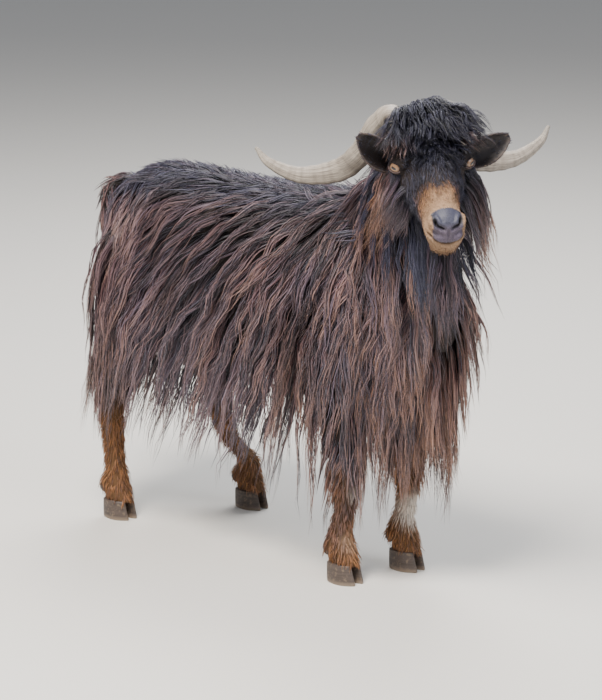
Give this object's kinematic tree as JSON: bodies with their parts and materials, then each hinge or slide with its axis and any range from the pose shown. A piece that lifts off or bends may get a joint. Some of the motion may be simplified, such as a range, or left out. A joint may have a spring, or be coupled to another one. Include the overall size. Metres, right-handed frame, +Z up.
{
  "type": "carpathian goat",
  "caption": "Life-size standing model of a long-haired buck with broad swept horns, its head turned to one side.",
  "frame": {"origin": "on the floor, under the middle of the whole model's box", "axes": "+X the way that the body faces, +Y the animal's left, +Z up"},
  "size_m": [1.1278, 0.4463, 0.9076],
  "materials": {
    "coat": "long dark brown hair with sun-bleached reddish tips",
    "leg_fur": "short orange-brown hair, lying flat",
    "hide": "dark skin under short black hair",
    "horn": "weathered grey-beige horn with a fine grain",
    "hoof": "dark worn hoof horn",
    "eye": "wet pale amber eye with a level dark pupil"
  },
  "bodies": {
    "root": {"torso": "coat", "neck": "coat", "head": "hide", "tail": "coat", "ear_left": "hide", "ear_right": "hide", "eye_left": "eye", "eye_right": "eye", "horn_left": "horn", "horn_right": "horn", "foreleg_left": "coat", "foreleg_right": "coat", "thigh_left": "coat", "thigh_right": "coat", "shank_fore_left": "leg_fur", "shank_fore_right": "leg_fur", "shank_hind_left": "leg_fur", "shank_hind_right": "leg_fur", "claw_fore_left_left": "hoof", "claw_fore_left_right": "hoof", "claw_fore_right_left": "hoof", "claw_fore_right_right": "hoof", "claw_hind_left_left": "hoof", "claw_hind_left_right": "hoof", "claw_hind_right_left": "hoof", "claw_hind_right_right": "hoof"}
  },
  "joints": []
}
